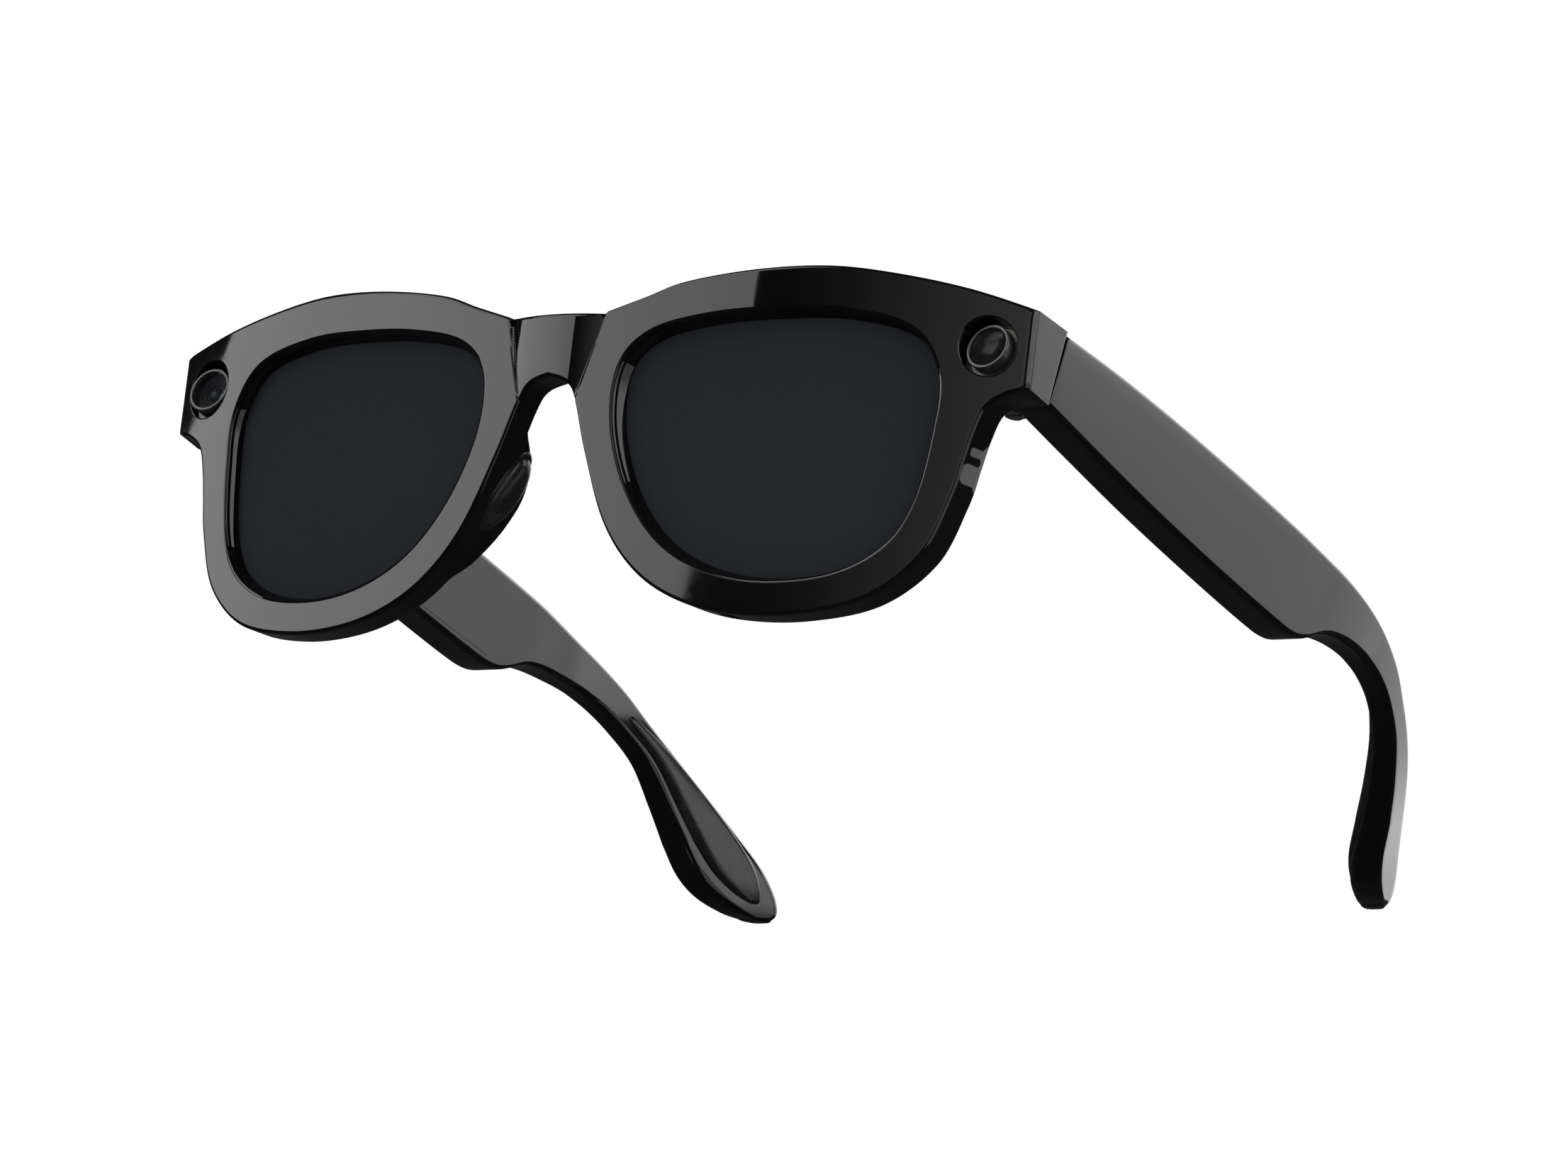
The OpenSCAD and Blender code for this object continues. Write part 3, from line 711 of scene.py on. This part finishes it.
def front_frame(material):
    s = look("front_look")
    net = Net()
    lens = through(LENS_EDGE, 8, closed=True)
    loops = [outline(), lens, lens[::-1] * [-1, 1]]
    rims = front_face(net, loops, [r * 1000 for r in (s.fillet, s.lens_fillet, s.lens_fillet)])
    front_back(net, loops, rims)
    made = net.piece("front_frame", "front", material, ("front_shell", "rear_cover"),
                     sharp=50)
    true_face(made.data)


class GLASSES_OT_front(bpy.types.Operator):
    """Makes the rounded front with its creased bridge, lens openings and ring recesses"""

    bl_idname = "glasses.front"
    bl_label = "Front"

    def execute(self, context):
        s = look("front_look")
        front_frame(moulded_black("frame_plastic", s.colour, s.gloss))
        return {"FINISHED"}


# ---- the temples
def section(xo, xi, top, low, r, arc=6, crown=0.0, lean=0.0):
    """A rounded upright section; crown draws in its outer side's foot, lean moves its foot out."""
    top, low = np.array(top, float), np.array(low, float)
    high = np.linalg.norm(top - low)
    up = (top - low) / high
    w = xo - xi
    r = min(r, w / 2 - 0.01, high / 2 - 0.01)
    middle = (top + low) / 2
    cx, cz = w / 2 - r, high / 2 - r
    out = []
    for u, h, start in ((cx, cz, 0), (-cx, cz, 90), (-cx, -cz, 180), (cx, -cz, 270)):
        out += [(u + r * math.cos(a), h + r * math.sin(a))
                for a in np.radians(np.linspace(start, start + 90, arc))]
    out = np.array(out + [(w / 2, h) for h in np.linspace(-cz, cz, 8)[1:-1]])
    below = 0.5 - out[:, 1] / high
    x = (xo + xi) / 2 + out[:, 0] - crown * below ** 2 * (out[:, 0] > 0) + lean * below
    return np.stack([x, middle[0] + up[0] * out[:, 1], middle[1] + up[1] * out[:, 1]], 1)


def hook_lean(y, high):
    """How far the foot of a section turns outwards from its top."""
    return TIP_TWIST * high * float(np.clip((y - TWIST_FROM) / TWIST_OVER, 0, 1))


def add_loft(net, rings, side):
    """Adds rings that are given as the wearer's left ones, in worn millimetres."""
    return net.bands([from_worn(r[:, 0] * side, r[:, 1], r[:, 2]) for r in rings])


def temple_arm(side, material):
    """A temple's outer shell, closed at the hinge and rounded off at the end of its hook."""
    r0 = look("temple_look").fillet * 1000
    rings = []
    for y0, z0, y1, z1, xo, xi in through(TEMPLE_STATIONS, STATION_STEPS):
        w, high = xo - xi, math.hypot(y0 - y1, z0 - z1)
        round_to = min(w, high) / 2 * 0.62
        r = r0 + (round_to - r0) * float(step(96, 150, y0))
        crown = 0.3 * float(1 - step(86, 110, y0))
        rings.append(section(xo, xi, (y0, z0), (y1, z1), r, 6, crown, hook_lean(y0, high)))
    first = rings[0]
    rings[:1] = [first + (first.mean(0) - first) * [0.04, 0, 0.02], first + [0, 0.22, 0]]
    last, before = rings[-1], rings[-2]
    ahead = last.mean(0) - before.mean(0)
    ahead /= np.linalg.norm(ahead)
    middle = last.mean(0)
    for a in np.radians([20, 40, 58, 74]):
        rings.append(middle + (last - middle) * math.cos(a) + ahead * 0.55 * math.sin(a))
    net = Net()
    rows = add_loft(net, rings, side)
    net.fan(rows[0], from_worn(*(rings[0].mean(0) * [side, 1, 1])))
    net.fan(rows[-1], from_worn(*((rings[-1].mean(0) + ahead * 0.02) * [side, 1, 1])))
    name = side_name(side)
    even_shading(net.piece("temple_arm_" + name, "temple_" + name, material,
                           ("temple_shell_" + name,)))


def speaker_grille(side, material):
    """A rounded slot of mesh let into the underside near the inner edge."""
    a = np.linspace(0, 2 * math.pi, 48, endpoint=False)
    mx, my = GRILLE_AT
    xs, ys = mx + 0.5 * np.sin(a), my + np.sign(np.cos(a)) * 3.5 + 0.5 * np.cos(a)
    net = Net()
    rings = []
    for grow, proud in ((1.25, -0.2), (1.25, 0.02), (1.12, 0.04), (1.0, 0.0), (0.9, 0.0)):
        x, y = mx + (xs - mx) * grow, my + (ys - my) * (1 + (grow - 1) * 0.12)
        rings.append(from_worn(x * side, y, np.interp(y, [65, 80], [-11.9, -11.5]) - proud))
    rows = net.bands(rings)
    net.fan(rows[-1], rings[-1].mean(0))
    name = side_name(side)
    net.piece("speaker_grille_" + name, "temple_" + name, material,
              ("speaker_mesh_" + name,))


class GLASSES_OT_temples(bpy.types.Operator):
    """Makes the two temples with their rounded edges and hooked ends, and the speaker grilles"""

    bl_idname = "glasses.temples"
    bl_label = "Temples"

    def execute(self, context):
        black = moulded_black("temple_plastic", look("front_look").colour,
                              look("temple_look").gloss)
        weave = woven_mesh()
        for side in (1, -1):
            temple_arm(side, black)
            speaker_grille(side, weave)
            for part in ("temple_cover_", "end_cover_"):
                dress(part + side_name(side), black, 0.00012)
        return {"FINISHED"}


# ---- rings, windows and optics
def turned_piece(name, at, profile, middle, material, stands_for, sharp=40.0):
    """A turned piece about the axis at at, closed with a point at the worn y middle."""
    net = Net()
    rows = net.bands(turned(profile, at))
    net.fan(rows[-1], from_worn(at[0], middle, at[1]))
    net.piece(name, "front", material, (stands_for,), sharp)


def ring_rim(node, at, material):
    """A flat trim ring with small rounded edges."""
    y, r, w = RING_Y, RING_R, WINDOW_R
    net = Net()
    rows = net.bands(turned([(r, y + 2.6), (r, y + 0.14), (r - 0.03, y + 0.05), (r - 0.09, y),
                             (w + 0.09, y), (w + 0.03, y + 0.04), (w, y + 0.12), (w, y + 2.6)], at))
    net.band(rows[-1], rows[0])
    net.piece(node + "_rim", "front", material, (node,))


def cover_glass(at):
    """The camera's cover, faintly domed and slanted to face outwards."""
    y = RING_Y + 0.5
    net = Net()
    rings = []
    for r in (GLASS_R, 2.85, 2.2, 1.2):
        x, z = r * np.cos(AROUND), r * np.sin(AROUND)
        rings.append(from_worn(at[0] + x, y - COVER_SLANT * x + 0.006 * r * r, at[1] + z))
    rows = net.bands(rings)
    net.fan(rows[-1], from_worn(at[0], y, at[1]))
    net.piece("camera_cover_glass", "front", camera_glass(), ("camera_window",))


class GLASSES_OT_camera_and_light(bpy.types.Operator):
    """Makes the two rings, the camera's cover glass and optics, and the status light's dish"""

    bl_idname = "glasses.camera_and_light"
    bl_label = "Camera and light"

    def execute(self, context):
        y = RING_Y
        camera_at, light_at = (-RING_AT[0], RING_AT[1]), RING_AT
        metal = satin_metal("ring_metal", (0.07, 0.07, 0.073), 0.2)
        ring_rim("camera_ring", camera_at, metal)
        ring_rim("light_ring", light_at, metal)
        cover_glass(camera_at)
        baffles = [(GLASS_R, 1.05), (2.6, 1.1), (2.6, 1.3), (2.1, 1.35), (2.1, 1.6), (1.6, 1.65),
                   (1.6, 1.9), (1.15, 1.95), (1.1, 1.85), (0.95, 1.6), (0.7, 1.4), (0.35, 1.28)]
        turned_piece("camera_lens_stack", camera_at, [(r, y + deep) for r, deep in baffles],
                     y + 1.25, optics(from_worn(camera_at[0], y + 1.6, camera_at[1])),
                     "camera_barrel", 30)
        dish = [(GLASS_R, y + 1.3), (GLASS_R, y + 0.14), (2.88, y + 0.1)] + [
            (r, y + 0.1 + math.sqrt(DISH_R ** 2 - r * r) - 6.35)
            for r in (2.8, 2.4, 1.9, 1.4, 0.9, 0.4)]
        turned_piece("light_dish", light_at, dish, y + 0.1 + 0.65, light_dish(),
                     "light_window")
        return {"FINISHED"}


# ---- pads
def nose_cushion(side, material):
    """A silicone pad on the nose wall, with a foot and a crowned ridge."""
    a = np.linspace(0, 2 * math.pi, 64, endpoint=False)
    s, c = math.sin(NOSE_PAD_TILT), math.cos(NOSE_PAD_TILT)
    wide, tall = NOSE_PAD_HALF
    net = Net()
    rings = []
    # size, height towards the nose, shift back
    for grow, up, shift in ((1.0, -1.3, 0), (1.0, 0.35, 0), (0.985, 0.5, 0), (0.95, 0.6, 0),
                            (0.9, 0.63, 0.02), (0.88, 0.72, 0.05), (0.865, 1.0, 0.1),
                            (0.83, 1.35, 0.2), (0.76, 1.66, 0.3), (0.64, 1.88, 0.42),
                            (0.46, 2.02, 0.5), (0.24, 2.09, 0.55)):
        across, along = wide * grow * np.cos(a) + shift, tall * grow * np.sin(a)
        up = up - 0.25 * (along / tall) ** 2 * (up > 0.7)
        x, y, z = NOSE_PAD_AT
        rings.append(from_worn((x - c * along + s * up) * side, y + across,
                               z + s * along + c * up))
    rows = net.bands(rings)
    net.fan(rows[-1], rings[-1].mean(0))
    name = side_name(side)
    net.piece("nose_cushion_" + name, "front", material, ("nose_pad_" + name,),
              sharp=60)


def tip_cushion(side, material):
    """A raised glossy pad on the inner side of the hook."""
    rise = look("pad_look").rise * 1000
    hook = through(TEMPLE_STATIONS, STATION_STEPS)[TIP_PAD_ROWS]
    rings = []
    for i, (y0, z0, y1, z1, _, xi) in enumerate(hook):
        bell = math.sin(math.pi * ((i + 0.5) / len(hook)))
        top, low = np.array([y0, z0]), np.array([y1, z1])
        high, mid = np.linalg.norm(top - low), (top + low) / 2
        half = high / 2 * 0.66 * bell ** 0.45
        up = (top - low) / high * half
        thick = TIP_PAD_SET + rise * bell ** 0.6
        lean = hook_lean(y0, half * 2)
        x = xi + TIP_PAD_SET + (hook_lean(y0, high) - lean) / 2
        rings.append(section(x, x - thick, mid + up, mid - up, min(thick, half * 2) * 0.46, 7, 0.0,
                             lean))
    net = Net()
    rows = add_loft(net, rings, side)
    for k in (0, -1):
        net.fan(rows[k], from_worn(*(rings[k].mean(0) * [side, 1, 1])))
    name = side_name(side)
    net.piece("tip_cushion_" + name, "temple_" + name, material,
              ("tip_pad_" + name,), sharp=70)


class GLASSES_OT_pads(bpy.types.Operator):
    """Makes the silicone nose pads and the pads on the temple tips"""

    bl_idname = "glasses.pads"
    bl_label = "Pads"

    def execute(self, context):
        soft = silicone("pad_silicone", look("pad_look").colour)
        for side in (1, -1):
            nose_cushion(side, soft)
            tip_cushion(side, soft)
        return {"FINISHED"}


# ---- CAD nodes that keep their own shape
def dress(node, material, bevel=0.0):
    """Gives a CAD node its material and, if it shows, soft edges."""
    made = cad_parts[node]
    made.data.materials.clear()
    made.data.materials.append(material)
    for polygon in made.data.polygons:
        polygon.material_index = 0
    if bevel:
        weld = made.modifiers.new("Join faces", "WELD")
        weld.merge_threshold = 1e-6
        mod = made.modifiers.new("Soft edges", "BEVEL")
        mod.width, mod.segments, mod.limit_method = bevel, 3, "ANGLE"
        mod.angle_limit, mod.harden_normals = math.radians(40), True


class GLASSES_OT_lenses(bpy.types.Operator):
    """Gives the two lenses their dark coated tint"""

    bl_idname = "glasses.lenses"
    bl_label = "Lenses"

    def execute(self, context):
        tint = tinted_lens()
        for name in ("lens_left", "lens_right"):
            dress(name, tint)
        return {"FINISHED"}


class GLASSES_OT_hardware(bpy.types.Operator):
    """Gives the hinges, screws, contacts, button and inner parts their finishes"""

    bl_idname = "glasses.hardware"
    bl_label = "Hardware"

    def execute(self, context):
        dark = satin_metal("hinge_metal", (0.035, 0.035, 0.037), 0.3)
        steel = satin_metal("screw_steel", (0.16, 0.16, 0.165), 0.25)
        gold = satin_metal("contact_gold", (0.62, 0.46, 0.2), 0.18)
        button = moulded_black("button_plastic", (0.004, 0.004, 0.0042), 0.22)
        inner = plain_plastic("inner_plastic", (0.02, 0.02, 0.022), 0.45)
        pale = plain_plastic("pale_ceramic", (0.6, 0.58, 0.52), 0.4)
        film = plain_plastic("flex_film", (0.32, 0.13, 0.03), 0.35)
        board, foil = circuit(), wrapped_foil()
        magnet = satin_metal("magnet_plating", (0.5, 0.5, 0.52), 0.2)
        core = satin_metal("core_steel", (0.4, 0.4, 0.42), 0.35)
        finishes = [("end_cover_screws", steel, 0), ("charge_contacts", gold, 0.0001),
                    ("charge_magnet", magnet, 0), ("capture_button", button, 0.0003),
                    ("button_switch", inner, 0), ("light_diode", pale, 0), ("front_flex", film, 0),
                    ("camera_board", board, 0), ("light_board", board, 0)]
        for part, finish, bevel in (("board", board, 0), ("hinge_base", dark, 0.00025),
                                    ("hinge_leaf", dark, 0.00025), ("hinge_pin", steel, 0.0001),
                                    ("leaf_screws", steel, 0.00008), ("battery", foil, 0),
                                    ("speaker", inner, 0), ("microphone", pale, 0),
                                    ("tip_core", core, 0)):
            finishes += [(part + "_" + side, finish, bevel) for side in ("left", "right")]
        for node, finish, bevel in finishes:
            dress(node, finish, bevel)
        return {"FINISHED"}


# ---- the stage
def glow(name, axis, low, high, strengths):
    """A board's light, which goes from one strength to another between two places on an axis."""
    f = Finish(name)
    f.tree.nodes.remove(f.surface)
    a, b = strengths
    tint = f.mix(f.ramp(f.axis(axis), low, high), rgb(a, a, a), rgb(b, b, b))
    f.put(f.out.inputs["Surface"], f.node("ShaderNodeEmission", {}, {"Color": tint}).outputs[0])
    return f.material


def facing_board(name, start, corners, material):
    """A board across the lines that leave start at each azimuth (from -Y) and elevation."""
    points = []
    for azimuth, elevation in corners:
        a, e = math.radians(azimuth), math.radians(elevation)
        ahead = Vector((-math.sin(a) * math.cos(e), -math.cos(a) * math.cos(e), math.sin(e)))
        points.append(Vector(start) + BOARD_AWAY * ahead)
    mesh = bpy.data.meshes.new(name)
    mesh.from_pydata(points, [], [tuple(range(len(points)))])
    mesh.materials.append(material)
    made = bpy.data.objects.new(name, mesh)
    made.visible_camera = made.visible_shadow = False
    bpy.context.scene.collection.objects.link(made)


def surroundings(scene):
    """White where the camera sees it, and dim for everything else."""
    world = bpy.data.worlds.new("Surroundings")
    scene.world = world
    world.use_nodes = True
    tree = world.node_tree
    tree.nodes.clear()
    seen, dim = (tree.nodes.new("ShaderNodeBackground") for _ in range(2))
    seen.inputs[0].default_value = rgb(1, 1, 1)
    dim.inputs[0].default_value = rgb(1, 1, 1)
    dim.inputs[1].default_value = 0.04
    path, mixed, out = (tree.nodes.new(kind) for kind in (
        "ShaderNodeLightPath", "ShaderNodeMixShader", "ShaderNodeOutputWorld"))
    for a, b in ((path.outputs["Is Camera Ray"], mixed.inputs[0]),
                 (dim.outputs[0], mixed.inputs[1]), (seen.outputs[0], mixed.inputs[2]),
                 (mixed.outputs[0], out.inputs[0])):
        tree.links.new(a, b)


def one_sided_floor(scene, colour):
    """A pale floor that is seen only from above."""
    mesh = bpy.data.meshes.new("floor")
    mesh.from_pydata([(-6, -6, 0), (6, -6, 0), (6, 6, 0), (-6, 6, 0)], [], [(0, 1, 2, 3)])
    f = Finish("floor_board", Roughness=0.8)
    f.wear(Base_Color=f.mix(f.noise(3), rgb(*colour), toned(colour, 0.97)))
    clear = f.node("ShaderNodeBsdfTransparent").outputs[0]
    under = f.node("ShaderNodeNewGeometry").outputs["Backfacing"]
    both = f.node("ShaderNodeMixShader", {}, {0: under, 1: f.surface.outputs[0], 2: clear})
    f.put(f.out.inputs["Surface"], both.outputs[0])
    mesh.materials.append(f.material)
    floor = bpy.data.objects.new("floor", mesh)
    floor.visible_glossy = False
    scene.collection.objects.link(floor)


class GLASSES_OT_stage(bpy.types.Operator):
    """Sets the camera, the pale floor, the white surroundings and the soft panels"""

    bl_idname = "glasses.stage"
    bl_label = "Stage"

    def execute(self, context):
        s = look("stage_look")
        scene = bpy.context.scene
        lens = bpy.data.cameras.new("Camera")
        lens.sensor_width, lens.lens = 36.0, CAMERA_LENS
        lens.clip_start, lens.clip_end = 0.01, 50.0
        camera = bpy.data.objects.new("Camera", lens)
        camera.location = CAMERA_AT
        camera.rotation_euler = Euler([math.radians(a) for a in CAMERA_TURN])
        scene.collection.objects.link(camera)
        scene.camera = camera

        main, side = s.front_panel, s.side_panel
        # name, start, corners, axis and span of its change, strengths
        for name, start, corners, fade, strengths in (
                # what the front reflects: a board with slanted ends, a gap, a board that fades in
                ("front_board", (-0.02, -0.068, 0.04),
                 [(72, 11.4), (62, 13), (45, 15.6), (3, 19), (33, 2), (72, 2)],
                 ("X", -1.3, -0.7), (main, main * 0.78)),
                ("end_board", (0.06, -0.066, 0.04), [(22, 30), (-30, 30), (-30, -4), (22, -4)],
                 ("X", -0.7, 0.35), (main * 0.012, main * 0.27)),
                # what the rings and the camera's cover glass reflect
                ("window_board", (-0.069, -0.065, 0.04), [(58, 42), (18, 42), (18, 21), (58, 21)],
                 ("X", -1.3, -1.0), (main, main)),
                # what the temples' flat sides reflect
                ("side_board", (0.06, 0.0, 0.04), [(-205, 35), (-125, 35), (-125, 2), (-205, 2)],
                 ("Z", 0.53, 0.72), (side * 0.6, side)),
                # what the lens openings' inner edges and the end piece's corner reflect
                ("edge_board", (0.06, -0.05, 0.04),
                 [(-118, 50), (-52, 50), (-52, -22), (-118, -22)],
                 ("Z", -0.1, 0.5), (side * 0.4, side))):
            facing_board(name, start, corners, glow(name + "_glow", *fade, strengths))

        surroundings(scene)
        one_sided_floor(scene, s.floor_colour)
        for name, at, size, watts in (("key_light", (-0.6, -1.2, 2.0), 1.6, 26),
                                      ("fill_light", (1.6, 0.4, 1.6), 1.4, 14)):
            data = bpy.data.lights.new(name, "AREA")
            data.size, data.energy = size, watts
            lamp = bpy.data.objects.new(name, data)
            lamp.location = at
            towards = Vector((0, 0, 0.03)) - Vector(at)
            lamp.rotation_euler = towards.to_track_quat("-Z", "Y").to_euler()
            lamp.visible_camera = lamp.visible_glossy = False
            scene.collection.objects.link(lamp)
        scene.view_settings.view_transform = "Standard"
        return {"FINISHED"}


class GLASSES_PT_panel(bpy.types.Panel):
    """Lists the settings and the pieces"""

    bl_label = "Smart Glasses"
    bl_idname = "GLASSES_PT_panel"
    bl_space_type = "VIEW_3D"
    bl_region_type = "UI"
    bl_category = "Smart Glasses"

    def draw(self, context):
        for name, group in GROUPS.items():
            box = self.layout.box()
            for prop in group.__annotations__:
                box.prop(getattr(context.scene, name), prop)
        for step_class in STEPS:
            self.layout.operator(step_class.bl_idname)


GROUPS = {"front_look": FrontLook, "temple_look": TempleLook, "pad_look": PadLook,
          "stage_look": StageLook}
STEPS = (GLASSES_OT_stage, GLASSES_OT_front, GLASSES_OT_temples, GLASSES_OT_camera_and_light,
         GLASSES_OT_pads, GLASSES_OT_lenses, GLASSES_OT_hardware)


def register():
    for name, group in GROUPS.items():
        bpy.utils.register_class(group)
        setattr(bpy.types.Scene, name, bpy.props.PointerProperty(type=group))
    for made in STEPS + (GLASSES_PT_panel,):
        bpy.utils.register_class(made)


def unregister():
    for made in reversed(STEPS + (GLASSES_PT_panel,)):
        bpy.utils.unregister_class(made)
    for name, group in GROUPS.items():
        delattr(bpy.types.Scene, name)
        bpy.utils.unregister_class(group)


def main():
    register()
    for made in STEPS:
        getattr(bpy.ops.glasses, made.bl_idname.split(".")[1])()
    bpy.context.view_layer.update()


if __name__ == "__main__":
    main()
